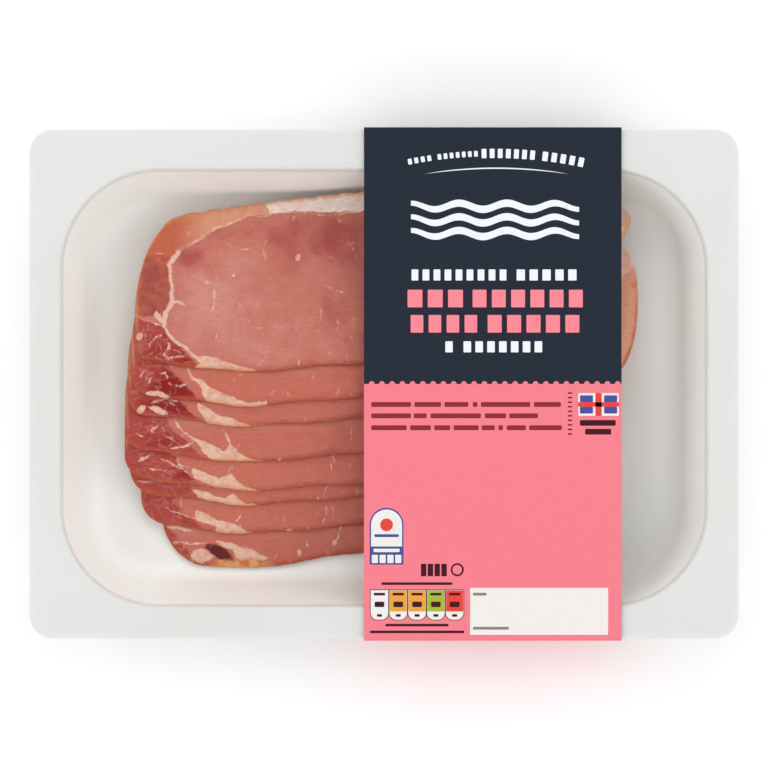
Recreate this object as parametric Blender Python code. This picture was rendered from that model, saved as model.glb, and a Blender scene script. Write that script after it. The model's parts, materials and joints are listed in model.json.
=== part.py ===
"""A bacon pack: back bacon rashers, shingled in a formed plastic tray under a clear
sealed film, with a card sleeve wrapped round the whole pack.

Metres, +Z up. The pack lies flat. The origin is on the surface it lies on, under the
middle of its outline. +X runs along the rashers. The rashers' fat edges face +Y.
"""
import math

import bmesh
import bpy
import numpy as np

MM = 0.001
GAP = 0.3 * MM

# Tray
FLANGE_LENGTH = 250.0 * MM
FLANGE_WIDTH = 179.4 * MM
FLANGE_CORNER = 8.5 * MM
FLANGE_EDGE_ROUND = 0.2 * MM
MOUTH_LENGTH = 230.0 * MM
MOUTH_WIDTH = 156.3 * MM
MOUTH_CORNER = 36.0 * MM
MOUTH_SHIFT_Y = -1.4 * MM
TRAY_HEIGHT = 28.0 * MM
TRAY_SKIN = 0.6 * MM
LIP_RADIUS = 1.5 * MM
FLOOR_FILLET = 9.0 * MM
WALL_DRAFT = math.radians(20.0)
CORNER_STEPS = 9
LIP_STEPS = 2
FILLET_STEPS = 4

# Lid film
FILM_THICKNESS = 0.2 * MM
FILM_SETBACK = 0.4 * MM

# Card sleeve
CARD = 0.45 * MM
SLEEVE_LENGTH = 90.7 * MM
SLEEVE_CENTRE_X = 38.3 * MM
SLEEVE_BASE_WIDTH = 146.0 * MM
SLEEVE_TOP_FOLD = 0.9 * MM
SLEEVE_BASE_FOLD = 2.0 * MM
SLEEVE_BEND = 6.0 * MM
FOLD_STEPS = 3

# Rashers. Positions and sizes in the plan are in millimetres.
THICKNESS = 2.6 * MM
RIM_THICKNESS = 1.3 * MM
REST_GAP = 0.75 * MM
LENGTHWISE_STEPS = 13
CROSSWISE_STEPS = 16
END_EASE = 0.65
EDGE_LOW_X = -50.0
EDGE_BEND = 5.0
LEFT_RISE = 0.13
BACK_HIGH_X = 15.0
BACK_HIGH_Y = 65.7
BACK_FALL = 0.0116
WAVE = 0.35
WAVE_LENGTH = 31.0

# One row for each rasher, top one first: where its front edge is, where its two ends are,
# how fast the front edge rises to the right, and the corners cut off its outline
# (length, width) at front left, back left, front right and back right.
RASHERS = [
    (3.8, -88.2, 87.6, 0.085, (4, 6), (17, 33), (20, 42), (5, 3)),
    (-8.3, -89.6, 90.0, 0.085, (6, 6), (17, 34), (10, 24), (10, 16)),
    (-15.5, -91.0, 82.5, 0.078, (6, 7), (18, 34), (13, 24), (14, 22)),
    (-28.2, -92.0, 81.0, 0.085, (7, 6), (17, 32), (12, 26), (14, 22)),
    (-38.3, -92.2, 80.0, 0.070, (7, 7), (18, 34), (14, 24), (12, 20)),
    (-43.5, -90.4, 81.5, 0.080, (8, 8), (18, 33), (12, 24), (14, 22)),
    (-53.8, -86.5, 79.0, 0.085, (9, 9), (19, 34), (14, 26), (15, 22)),
    (-66.4, -79.0, 76.0, 0.150, (15, 15), (20, 34), (16, 26), (16, 22)),
]

# The grid that the rashers are settled on, in metres.
CELL_X = 4.0 * MM
CELL_Y = 2.0 * MM
GRID_HALF_X = 100.0 * MM
GRID_HALF_Y = 76.0 * MM
SAG_PER_METRE = 42.0
SETTLE_STEPS = 4000

FLOOR_Z = CARD + GAP + TRAY_SKIN
FLANGE_TOP_Z = CARD + GAP + TRAY_HEIGHT
SLEEVE_TOP_Z = FLANGE_TOP_Z + GAP + FILM_THICKNESS + GAP + CARD
SLEEVE_WIDTH = FLANGE_WIDTH + 2.0 * (GAP + CARD)


def clear_scene():
    for item in list(bpy.data.objects):
        bpy.data.objects.remove(item, do_unlink=True)


def make_material(name, colour, roughness, alpha=1.0):
    material = bpy.data.materials.new(name)
    material.use_nodes = True
    shader = material.node_tree.nodes["Principled BSDF"]
    shader.inputs["Base Color"].default_value = (*colour, 1.0)
    shader.inputs["Roughness"].default_value = roughness
    shader.inputs["Metallic"].default_value = 0.0
    shader.inputs["Alpha"].default_value = alpha
    return material


def add_object(name, mesh_builder, material, smooth_angle):
    mesh = bpy.data.meshes.new(name)
    bmesh.ops.recalc_face_normals(mesh_builder, faces=mesh_builder.faces)
    mesh_builder.to_mesh(mesh)
    mesh_builder.free()
    mesh.shade_smooth()
    mesh.set_sharp_from_angle(angle=math.radians(smooth_angle))
    mesh.materials.append(material)
    item = bpy.data.objects.new(name, mesh)
    bpy.context.scene.collection.objects.link(item)
    return item


def rounded_rectangle(builder, length, width, corner, shift_y, z):
    """A loop of vertices round a rectangle whose corners are arcs."""
    loop = []
    centres = ((1, 1), (-1, 1), (-1, -1), (1, -1))
    for quarter, (side_x, side_y) in enumerate(centres):
        centre_x = side_x * (length / 2.0 - corner)
        centre_y = side_y * (width / 2.0 - corner) + shift_y
        for step in range(CORNER_STEPS + 1):
            angle = (quarter + step / CORNER_STEPS) * math.pi / 2.0
            x = centre_x + corner * math.cos(angle)
            y = centre_y + corner * math.sin(angle)
            loop.append(builder.verts.new((x, y, z)))
    return loop


def join_loops(builder, first, second):
    count = len(first)
    for index in range(count):
        following = (index + 1) % count
        builder.faces.new((first[index], first[following], second[following], second[index]))


def cavity_section(skin):
    """Inset from the mouth and height, from the lip down to the floor's edge.

    The lip is a convex arc, the wall a straight draft, and the foot a concave arc. With a
    skin it gives the outside of the wall, that far behind the inside.
    """
    lip = LIP_RADIUS - skin
    foot = FLOOR_FILLET + skin
    lip_centre_z = FLANGE_TOP_Z - LIP_RADIUS
    foot_centre_z = FLOOR_Z + FLOOR_FILLET
    drop = lip_centre_z - foot_centre_z + (LIP_RADIUS + FLOOR_FILLET) * math.sin(WALL_DRAFT)
    foot_centre = (LIP_RADIUS + FLOOR_FILLET) * math.cos(WALL_DRAFT) + drop * math.tan(WALL_DRAFT)
    section = []
    for step in range(LIP_STEPS + 1):
        angle = (math.pi / 2.0 - WALL_DRAFT) * step / LIP_STEPS
        section.append((lip * math.sin(angle), lip_centre_z + lip * math.cos(angle)))
    for step in range(FILLET_STEPS + 1):
        angle = WALL_DRAFT + (math.pi / 2.0 - WALL_DRAFT) * step / FILLET_STEPS
        section.append((foot_centre - foot * math.cos(angle), foot_centre_z - foot * math.sin(angle)))
    return section


def cavity_loop(builder, inset, z):
    return rounded_rectangle(
        builder,
        MOUTH_LENGTH - 2.0 * inset,
        MOUTH_WIDTH - 2.0 * inset,
        MOUTH_CORNER - inset,
        MOUTH_SHIFT_Y,
        z,
    )


def flange_loop(builder, setback, z):
    return rounded_rectangle(
        builder,
        FLANGE_LENGTH - 2.0 * setback,
        FLANGE_WIDTH - 2.0 * setback,
        FLANGE_CORNER - setback,
        0.0,
        z,
    )


def build_tray(material):
    """One thin skin: floor, drafted walls and flange, as a chain of loops."""
    builder = bmesh.new()
    underside_z = FLANGE_TOP_Z - TRAY_SKIN
    loops = [cavity_loop(builder, inset, z) for inset, z in reversed(cavity_section(0.0))]
    for setback, z in (
        (FLANGE_EDGE_ROUND, FLANGE_TOP_Z),
        (0.0, FLANGE_TOP_Z - FLANGE_EDGE_ROUND),
        (0.0, underside_z + FLANGE_EDGE_ROUND),
        (FLANGE_EDGE_ROUND, underside_z),
    ):
        loops.append(flange_loop(builder, setback, z))
    loops.extend(cavity_loop(builder, inset, z) for inset, z in cavity_section(TRAY_SKIN))
    for first, second in zip(loops, loops[1:]):
        join_loops(builder, first, second)
    builder.faces.new(loops[0])
    builder.faces.new(loops[-1])
    return add_object("tray", builder, material, 35.0)


def build_film(material):
    builder = bmesh.new()
    low = flange_loop(builder, FILM_SETBACK, FLANGE_TOP_Z + GAP)
    high = flange_loop(builder, FILM_SETBACK, FLANGE_TOP_Z + GAP + FILM_THICKNESS)
    join_loops(builder, low, high)
    builder.faces.new(low)
    builder.faces.new(high)
    return add_object("lid_film", builder, material, 35.0)


def rounded_corner(before, corner, after, radius):
    """Points of the arc that rounds the corner of a folded sheet."""
    corner_point = np.array(corner)
    arm_in = np.array(before) - corner_point
    arm_out = np.array(after) - corner_point
    arm_in = arm_in / np.linalg.norm(arm_in)
    arm_out = arm_out / np.linalg.norm(arm_out)
    half_angle = math.acos(float(np.clip(arm_in @ arm_out, -1.0, 1.0))) / 2.0
    middle = (arm_in + arm_out) / np.linalg.norm(arm_in + arm_out)
    centre = corner_point + middle * radius / math.sin(half_angle)
    start = corner_point + arm_in * radius / math.tan(half_angle) - centre
    end = corner_point + arm_out * radius / math.tan(half_angle) - centre
    points = []
    for step in range(FOLD_STEPS + 1):
        share = step / FOLD_STEPS
        spoke = start * (1.0 - share) + end * share
        points.append(tuple(centre + spoke * radius / np.linalg.norm(spoke)))
    return points


def sleeve_outline(inset):
    """The band seen from its end, in Y and Z: a top panel, two sides that go straight
    down past the flange and then lean in to the base, and a base panel."""
    half_top = SLEEVE_WIDTH / 2.0
    half_base = SLEEVE_BASE_WIDTH / 2.0
    bend_z = FLANGE_TOP_Z - SLEEVE_BEND
    corners = [
        (half_top - inset, SLEEVE_TOP_Z - inset, SLEEVE_TOP_FOLD - inset),
        (half_top - inset, bend_z, SLEEVE_BEND),
        (half_base - inset, inset, SLEEVE_BASE_FOLD - inset),
    ]
    corners += [(-y, z, radius) for y, z, radius in reversed(corners)]
    outline = []
    for index, (y, z, radius) in enumerate(corners):
        before = corners[index - 1][:2]
        after = corners[(index + 1) % len(corners)][:2]
        outline.extend(rounded_corner(before, (y, z), after, radius))
    return outline


def build_sleeve(material):
    builder = bmesh.new()
    rings = {}
    for end in (-1, 1):
        x = SLEEVE_CENTRE_X + end * SLEEVE_LENGTH / 2.0
        for side, inset in (("outside", 0.0), ("inside", CARD)):
            rings[side, end] = [builder.verts.new((x, y, z)) for y, z in sleeve_outline(inset)]
    join_loops(builder, rings["outside", -1], rings["outside", 1])
    join_loops(builder, rings["outside", 1], rings["inside", 1])
    join_loops(builder, rings["inside", 1], rings["inside", -1])
    join_loops(builder, rings["inside", -1], rings["outside", -1])
    return add_object("sleeve", builder, material, 20.0)


def ramp(distance):
    """Zero on one side and rising steadily on the other, with a soft bend between."""
    return (distance + np.sqrt(distance ** 2 + EDGE_BEND ** 2)) / 2.0


def corner_cut(distance, length, width, straight):
    """How much of the width a corner takes off, this far from the end."""
    left = 1.0 - np.clip(distance / length, 0.0, 1.0)
    if straight:
        return width * left
    return width * (1.0 - np.sqrt(1.0 - left ** 2))


def front_edge(index, x):
    """The front edge of a rasher in the plan, in millimetres."""
    front, left, right, rise, front_left, _, front_right, _ = RASHERS[index]
    edge = front + rise * ramp(x - EDGE_LOW_X) + LEFT_RISE * ramp(EDGE_LOW_X - x)
    edge += WAVE * np.sin(2.0 * math.pi * x / WAVE_LENGTH + 1.7 * index)
    edge += corner_cut(x - left, *front_left, False)
    edge += corner_cut(right - x, *front_right, index == 0)
    return edge


def back_edge(index, x):
    """The fat edge of a rasher in the plan, in millimetres."""
    front, left, right, _, _, back_left, _, back_right = RASHERS[index]
    edge = front + BACK_HIGH_Y - BACK_FALL * np.abs(x - BACK_HIGH_X) ** 1.5
    edge -= corner_cut(x - left, *back_left, False)
    edge -= corner_cut(right - x, *back_right, False)
    return edge


def tray_height(x, y):
    """Height of the tray's inside under each point of a grid, in metres."""
    reach_x = np.abs(x) - (MOUTH_LENGTH / 2.0 - MOUTH_CORNER)
    reach_y = np.abs(y - MOUTH_SHIFT_Y) - (MOUTH_WIDTH / 2.0 - MOUTH_CORNER)
    outside = np.hypot(np.maximum(reach_x, 0.0), np.maximum(reach_y, 0.0))
    inside = np.minimum(np.maximum(reach_x, reach_y), 0.0)
    inset = MOUTH_CORNER - outside - inside
    section = cavity_section(0.0)
    return np.interp(inset, [point[0] for point in section], [point[1] for point in section])


def settle(support, covered):
    """Lets a limp sheet sink until it lies on what is under it."""
    weight_x = 1.0 / CELL_X ** 2
    weight_y = 1.0 / CELL_Y ** 2
    total = 2.0 * (weight_x + weight_y)
    sag = np.where(covered, SAG_PER_METRE / total, 0.0)
    lowest = np.where(covered, support, 0.0)
    sheet = np.full(support.shape, lowest.max())
    for _ in range(SETTLE_STEPS):
        padded = np.pad(sheet, 1, mode="edge")
        beside = padded[2:, 1:-1] + padded[:-2, 1:-1]
        ahead = padded[1:-1, 2:] + padded[1:-1, :-2]
        sheet = np.maximum(lowest, (beside * weight_x + ahead * weight_y) / total - sag)
    return sheet


def widened(covered):
    """The covered cells and the ones next to them."""
    padded = np.pad(covered, 1)
    near = padded[1:-1, 1:-1] | padded[2:, 1:-1] | padded[:-2, 1:-1]
    padded = np.pad(near, 1)
    return near | padded[1:-1, 2:] | padded[1:-1, :-2]


def settled_rashers():
    """Height of each rasher's underside over the grid, the bottom rasher laid first."""
    grid_x = np.arange(-GRID_HALF_X, GRID_HALF_X + CELL_X / 2.0, CELL_X)
    grid_y = np.arange(-GRID_HALF_Y, GRID_HALF_Y + CELL_Y / 2.0, CELL_Y)
    x, y = np.meshgrid(grid_x, grid_y, indexing="ij")
    support = tray_height(x, y) + REST_GAP
    sheets = {}
    for index in reversed(range(len(RASHERS))):
        left, right = RASHERS[index][1:3]
        covered = (x >= left * MM) & (x <= right * MM)
        covered &= (y >= front_edge(index, x / MM) * MM) & (y <= back_edge(index, x / MM) * MM)
        covered = widened(covered)
        sheets[index] = settle(support, covered)
        top = sheets[index] + THICKNESS + REST_GAP
        support = np.where(covered, np.maximum(support, top), support)
    return sheets


def height_at(sheet, x, y):
    """Reads a settled sheet between its grid points."""
    column = np.clip((x + GRID_HALF_X) / CELL_X, 0.0, sheet.shape[0] - 1.001)
    row = np.clip((y + GRID_HALF_Y) / CELL_Y, 0.0, sheet.shape[1] - 1.001)
    i = int(column)
    j = int(row)
    share_x = column - i
    share_y = row - j
    near = sheet[i, j] * (1.0 - share_y) + sheet[i, j + 1] * share_y
    far = sheet[i + 1, j] * (1.0 - share_y) + sheet[i + 1, j + 1] * share_y
    return near * (1.0 - share_x) + far * share_x


def eased_steps(count):
    """Steps from 0 to 1 that are closer together near both ends."""
    steps = []
    for step in range(count + 1):
        share = step / count
        steps.append(share - END_EASE * math.sin(2.0 * math.pi * share) / (2.0 * math.pi))
    return steps


def build_rasher(index, sheet, material):
    """A thin slice with thinner rims, as an upper and a lower grid joined round the edge."""
    builder = bmesh.new()
    left, right = RASHERS[index][1:3]
    layers = {"under": [], "over": []}
    for column, along in enumerate(eased_steps(LENGTHWISE_STEPS)):
        x = left + (right - left) * along
        front = float(front_edge(index, x))
        back = float(back_edge(index, x))
        under = []
        over = []
        for row, across in enumerate(eased_steps(CROSSWISE_STEPS)):
            y = front + (back - front) * across
            on_rim = column in (0, LENGTHWISE_STEPS) or row in (0, CROSSWISE_STEPS)
            thickness = RIM_THICKNESS if on_rim else THICKNESS
            middle = height_at(sheet, x * MM, y * MM) + THICKNESS / 2.0
            under.append(builder.verts.new((x * MM, y * MM, middle - thickness / 2.0)))
            over.append(builder.verts.new((x * MM, y * MM, middle + thickness / 2.0)))
        layers["under"].append(under)
        layers["over"].append(over)
    borders = {}
    for name, grid in layers.items():
        for first, second in zip(grid, grid[1:]):
            for row in range(CROSSWISE_STEPS):
                builder.faces.new((first[row], second[row], second[row + 1], first[row + 1]))
        border = [column[0] for column in grid]
        border += grid[-1][1:]
        border += [column[-1] for column in reversed(grid[:-1])]
        border += list(reversed(grid[0][1:-1]))
        borders[name] = border
    join_loops(builder, borders["under"], borders["over"])
    return add_object(f"rasher_{index + 1}", builder, material, 50.0)


def build_pack():
    clear_scene()
    build_tray(make_material("tray_white", (0.80, 0.80, 0.77), 0.35))
    build_film(make_material("film_clear", (0.95, 0.95, 0.95), 0.08, 0.15))
    build_sleeve(make_material("sleeve_card", (0.95, 0.25, 0.30), 0.45))
    meat = make_material("cured_meat", (0.58, 0.19, 0.14), 0.38)
    for index, sheet in sorted(settled_rashers().items()):
        build_rasher(index, sheet, meat)


build_pack()
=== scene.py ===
"""Looks of a bacon pack: back bacon rashers, shingled in a formed white tray under a clear
sealed film, with a printed card sleeve wrapped round the pack.

Metres, +Z up. The pack lies flat and the camera looks straight down on it.
"""
import json
import math

import bpy
import numpy as np
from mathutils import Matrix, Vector, noise

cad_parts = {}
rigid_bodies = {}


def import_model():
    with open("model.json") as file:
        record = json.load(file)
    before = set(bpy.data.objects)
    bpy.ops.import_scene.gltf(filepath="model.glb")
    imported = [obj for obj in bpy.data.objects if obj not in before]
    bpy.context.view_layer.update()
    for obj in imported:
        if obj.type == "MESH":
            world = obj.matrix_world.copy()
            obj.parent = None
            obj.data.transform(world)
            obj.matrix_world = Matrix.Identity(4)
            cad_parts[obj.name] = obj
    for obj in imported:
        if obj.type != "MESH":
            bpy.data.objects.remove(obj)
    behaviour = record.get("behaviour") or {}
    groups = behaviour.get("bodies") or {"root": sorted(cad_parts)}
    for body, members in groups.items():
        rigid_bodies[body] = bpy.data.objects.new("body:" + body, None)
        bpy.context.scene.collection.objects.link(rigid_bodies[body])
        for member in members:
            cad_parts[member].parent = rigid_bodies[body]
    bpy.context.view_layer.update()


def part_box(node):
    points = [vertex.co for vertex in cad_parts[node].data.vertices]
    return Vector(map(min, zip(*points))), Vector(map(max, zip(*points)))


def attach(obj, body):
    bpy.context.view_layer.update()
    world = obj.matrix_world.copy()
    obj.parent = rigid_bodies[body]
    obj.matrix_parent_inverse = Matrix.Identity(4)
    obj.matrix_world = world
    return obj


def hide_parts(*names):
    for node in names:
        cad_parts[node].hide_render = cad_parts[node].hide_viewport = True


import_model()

MM = 0.001
BODY = "root"
# Light falling on a flat surface, where 1 shows its base colour unchanged
LIGHT_LEVEL = 1.1

# Places taken from the frame
TRAY_LOW, TRAY_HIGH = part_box("tray")
FILM_LOW, FILM_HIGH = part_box("lid_film")
SLEEVE_LOW, SLEEVE_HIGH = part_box("sleeve")

# Tray
MOUTH_LENGTH = 230.0 * MM
MOUTH_WIDTH = 156.3 * MM
MOUTH_CORNER = 36.0 * MM
MOUTH_SHIFT_Y = -1.4 * MM
FLANGE_CORNER = 8.5 * MM
TRAY_SKIN = 0.6 * MM
LIP_RADIUS = 1.5 * MM
FLOOR_FILLET = 9.0 * MM
WALL_DRAFT = math.radians(20.0)

# Sleeve
CARD = 0.45 * MM
SLEEVE_BASE_WIDTH = 146.0 * MM
SLEEVE_BEND_DROP = 7.25 * MM

# Rashers, in the plan and in millimetres, top one first: where the front edge is, where the
# two ends are, how fast the front edge rises to the right, and the corners cut off the
# outline (length, width) at front left, back left, front right and back right.
RASHERS = [
    (3.8, -88.2, 87.6, 0.085, (4, 6), (17, 33), (20, 42), (5, 3)),
    (-8.3, -89.6, 90.0, 0.085, (6, 6), (17, 34), (10, 24), (10, 16)),
    (-15.5, -91.0, 82.5, 0.078, (6, 7), (18, 34), (13, 24), (14, 22)),
    (-28.2, -92.0, 81.0, 0.085, (7, 6), (17, 32), (12, 26), (14, 22)),
    (-38.3, -92.2, 80.0, 0.070, (7, 7), (18, 34), (14, 24), (12, 20)),
    (-43.5, -90.4, 81.5, 0.080, (8, 8), (18, 33), (12, 24), (14, 22)),
    (-53.8, -86.5, 79.0, 0.085, (9, 9), (19, 34), (14, 26), (15, 22)),
    (-66.4, -79.0, 76.0, 0.150, (15, 15), (20, 34), (16, 26), (16, 22)),
]
EDGE_LOW_X = -50.0
EDGE_BEND = 5.0
LEFT_RISE = 0.13
BACK_HIGH_X = 15.0
BACK_HIGH_Y = 65.7
BACK_FALL = 0.0116
WAVE = 0.35
WAVE_LENGTH = 31.0

# Settling of the rashers, in metres
LAID_THICKNESS = 2.6 * MM
REST_GAP = 0.75 * MM
CELL_X = 4.0 * MM
CELL_Y = 2.0 * MM
GRID_HALF_X = 100.0 * MM
GRID_HALF_Y = 76.0 * MM
SAG_PER_METRE = 42.0
SETTLE_STEPS = 4000


# ---------------------------------------------------------------- modelling helpers

def deselect_all():
    if bpy.context.object and bpy.context.object.mode != "OBJECT":
        bpy.ops.object.mode_set(mode="OBJECT")
    bpy.ops.object.select_all(action="DESELECT")


def pick(*objs):
    """Selects only these objects and makes the first one active."""
    deselect_all()
    for obj in objs:
        obj.select_set(True)
    bpy.context.view_layer.objects.active = objs[0]


def apply_modifiers(obj):
    pick(obj)
    for modifier in list(obj.modifiers):
        bpy.ops.object.modifier_apply(modifier=modifier.name)


def apply_place(obj):
    pick(obj)
    bpy.ops.object.transform_apply(location=True, rotation=True, scale=True)


def finish_piece(obj, name, materials, nodes=()):
    """Names a piece, gives it its materials and ties it to the frame."""
    obj.name = name
    obj.data.name = name
    obj.data.materials.clear()
    for material in materials:
        obj.data.materials.append(material)
    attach(obj, BODY)
    if nodes:
        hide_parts(*nodes)
    return obj


def rounded_plate(length, width, corner, shift_y, z, steps):
    """A flat face with round corners, left in edit mode with all of it selected."""
    deselect_all()
    bpy.ops.mesh.primitive_plane_add(size=1.0, location=(0.0, shift_y, z))
    plate = bpy.context.object
    plate.scale = (length, width, 1.0)
    apply_place(plate)
    bpy.ops.object.mode_set(mode="EDIT")
    bpy.ops.mesh.select_all(action="SELECT")
    bpy.ops.mesh.bevel(affect="VERTICES", offset=corner, segments=steps, profile=0.5)
    bpy.ops.mesh.select_all(action="SELECT")
    return plate


# ---------------------------------------------------------------- shader helpers

def new_tree(name):
    material = bpy.data.materials.new(name)
    material.use_nodes = True
    tree = material.node_tree
    return material, tree, tree.nodes["Principled BSDF"]


def add_node(tree, kind, values=None, links=None, **settings):
    """Adds a node, sets its properties and input values, and links its inputs."""
    node = tree.nodes.new(kind)
    for key, value in settings.items():
        setattr(node, key, value)
    for key, value in (values or {}).items():
        node.inputs[key].default_value = value
    for key, socket in (links or {}).items():
        tree.links.new(socket, node.inputs[key])
    return node


def math_node(tree, operation, first, second=None, third=None, clamp=False):
    node = tree.nodes.new("ShaderNodeMath")
    node.operation = operation
    node.use_clamp = clamp
    for index, value in enumerate((first, second, third)):
        if value is None:
            continue
        if isinstance(value, (int, float)):
            node.inputs[index].default_value = value
        else:
            tree.links.new(value, node.inputs[index])
    return node.outputs[0]


def smooth_step(tree, value, low, high):
    node = add_node(tree, "ShaderNodeMapRange", interpolation_type="SMOOTHSTEP")
    node.inputs["From Min"].default_value = low
    node.inputs["From Max"].default_value = high
    tree.links.new(value, node.inputs["Value"])
    return node.outputs["Result"]


def mix_colour(tree, share, first, second, blend="MIX"):
    node = tree.nodes.new("ShaderNodeMix")
    node.data_type = "RGBA"
    node.blend_type = blend
    for index, value in ((0, share), (6, first), (7, second)):
        if isinstance(value, (int, float)):
            node.inputs[index].default_value = value
        elif isinstance(value, tuple):
            node.inputs[index].default_value = (*value, 1.0)
        else:
            tree.links.new(value, node.inputs[index])
    return node.outputs[2]


def linear(red, green, blue):
    """A colour written from 0 to 255 as it looks in this light, turned to a linear base colour."""
    channels = []
    for value in (red, green, blue):
        share = value / 255.0
        if share <= 0.04045:
            channels.append(share / 12.92 / LIGHT_LEVEL)
        else:
            channels.append(((share + 0.055) / 1.055) ** 2.4 / LIGHT_LEVEL)
    return tuple(channels)


def noise_texture(tree, vector, scale, detail=2.0, roughness=0.5, distortion=0.0):
    node = add_node(
        tree,
        "ShaderNodeTexNoise",
        {"Scale": scale, "Detail": detail, "Roughness": roughness, "Distortion": distortion},
        {"Vector": vector},
    )
    return node.outputs["Fac"]


# ---------------------------------------------------------------- tray

def cavity_steps(lip_steps, fillet_steps):
    """Inset and height pairs down the inside of the tray, from the mouth to the floor."""
    top = TRAY_HIGH[2]
    floor = TRAY_LOW[2] + TRAY_SKIN
    lip_centre_z = top - LIP_RADIUS
    foot_centre_z = floor + FLOOR_FILLET
    drop = lip_centre_z - foot_centre_z + (LIP_RADIUS + FLOOR_FILLET) * math.sin(WALL_DRAFT)
    foot_centre = (LIP_RADIUS + FLOOR_FILLET) * math.cos(WALL_DRAFT) + drop * math.tan(WALL_DRAFT)
    turn = math.pi / 2.0 - WALL_DRAFT
    steps = []
    for step in range(lip_steps + 1):
        angle = turn * step / lip_steps
        steps.append((LIP_RADIUS * math.sin(angle), lip_centre_z + LIP_RADIUS * math.cos(angle)))
    for step in range(fillet_steps + 1):
        angle = WALL_DRAFT + turn * step / fillet_steps
        steps.append(
            (
                foot_centre - FLOOR_FILLET * math.cos(angle),
                foot_centre_z - FLOOR_FILLET * math.sin(angle),
            )
        )
    return steps


def model_tray(material):
    """Cavity inset down from its mouth, bridged to the flange, then given its skin."""
    corner_steps = 20
    top = TRAY_HIGH[2]
    cavity = rounded_plate(MOUTH_LENGTH, MOUTH_WIDTH, MOUTH_CORNER, MOUTH_SHIFT_Y, top, corner_steps)
    steps = cavity_steps(6, 12)
    for (inset_a, z_a), (inset_b, z_b) in zip(steps, steps[1:]):
        bpy.ops.mesh.inset(thickness=inset_b - inset_a, depth=z_b - z_a, use_even_offset=True)
    bpy.ops.mesh.inset(thickness=2.0 * MM, depth=0.0)
    bpy.ops.object.mode_set(mode="OBJECT")
    length = TRAY_HIGH[0] - TRAY_LOW[0]
    width = TRAY_HIGH[1] - TRAY_LOW[1]
    flange = rounded_plate(length, width, FLANGE_CORNER, 0.0, top, corner_steps)
    bpy.ops.mesh.inset(thickness=0.5 * MM, depth=0.0)
    bpy.ops.mesh.inset(thickness=3.6 * MM, depth=0.0)
    bpy.ops.mesh.inset(thickness=0.3 * MM, depth=0.12 * MM)
    bpy.ops.mesh.delete(type="ONLY_FACE")
    bpy.ops.object.mode_set(mode="OBJECT")
    pick(cavity, flange)
    bpy.ops.object.join()
    bpy.ops.object.mode_set(mode="EDIT")
    bpy.ops.mesh.select_all(action="DESELECT")
    bpy.ops.mesh.select_mode(type="EDGE")
    bpy.ops.mesh.select_non_manifold(extend=False)
    bpy.ops.object.mode_set(mode="OBJECT")
    outer = length / 2.0 - 1.0 * MM
    outer_y = width / 2.0 - 1.0 * MM
    for edge in cavity.data.edges:
        ends = [cavity.data.vertices[index].co for index in edge.vertices]
        if edge.select and all(abs(co.x) > outer or abs(co.y) > outer_y for co in ends):
            edge.select = False
        corner_x = length / 2.0 - FLANGE_CORNER
        corner_y = width / 2.0 - FLANGE_CORNER
        if edge.select and all(
            math.hypot(max(abs(co.x) - corner_x, 0.0), max(abs(co.y) - corner_y, 0.0))
            > FLANGE_CORNER - 1.0 * MM
            for co in ends
        ):
            edge.select = False
    bpy.ops.object.mode_set(mode="EDIT")
    bpy.ops.mesh.bridge_edge_loops()
    bpy.ops.mesh.select_all(action="SELECT")
    bpy.ops.mesh.normals_make_consistent(inside=False)
    bpy.ops.object.mode_set(mode="OBJECT")
    tray = cavity
    up = sum(face.normal.z * face.area for face in tray.data.polygons)
    if up < 0.0:
        tray.data.flip_normals()
    skin = tray.modifiers.new("skin", "SOLIDIFY")
    skin.thickness = TRAY_SKIN
    skin.offset = -1.0
    skin.use_even_offset = True
    rounding = tray.modifiers.new("edge", "BEVEL")
    rounding.width = 0.15 * MM
    rounding.segments = 2
    rounding.limit_method = "ANGLE"
    rounding.angle_limit = math.radians(60.0)
    apply_modifiers(tray)
    bpy.ops.object.shade_smooth_by_angle(angle=math.radians(35.0))
    return finish_piece(tray, "formed_tray", [material], ["tray"])


# ---------------------------------------------------------------- sleeve

def select_points(obj, test):
    """Leaves the object in edit mode with only the vertices that pass the test selected."""
    bpy.ops.object.mode_set(mode="EDIT")
    bpy.ops.mesh.select_mode(type="VERT")
    bpy.ops.mesh.select_all(action="DESELECT")
    bpy.ops.object.mode_set(mode="OBJECT")
    for vertex in obj.data.vertices:
        vertex.select = test(vertex.co)
    bpy.ops.object.mode_set(mode="EDIT")


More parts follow.
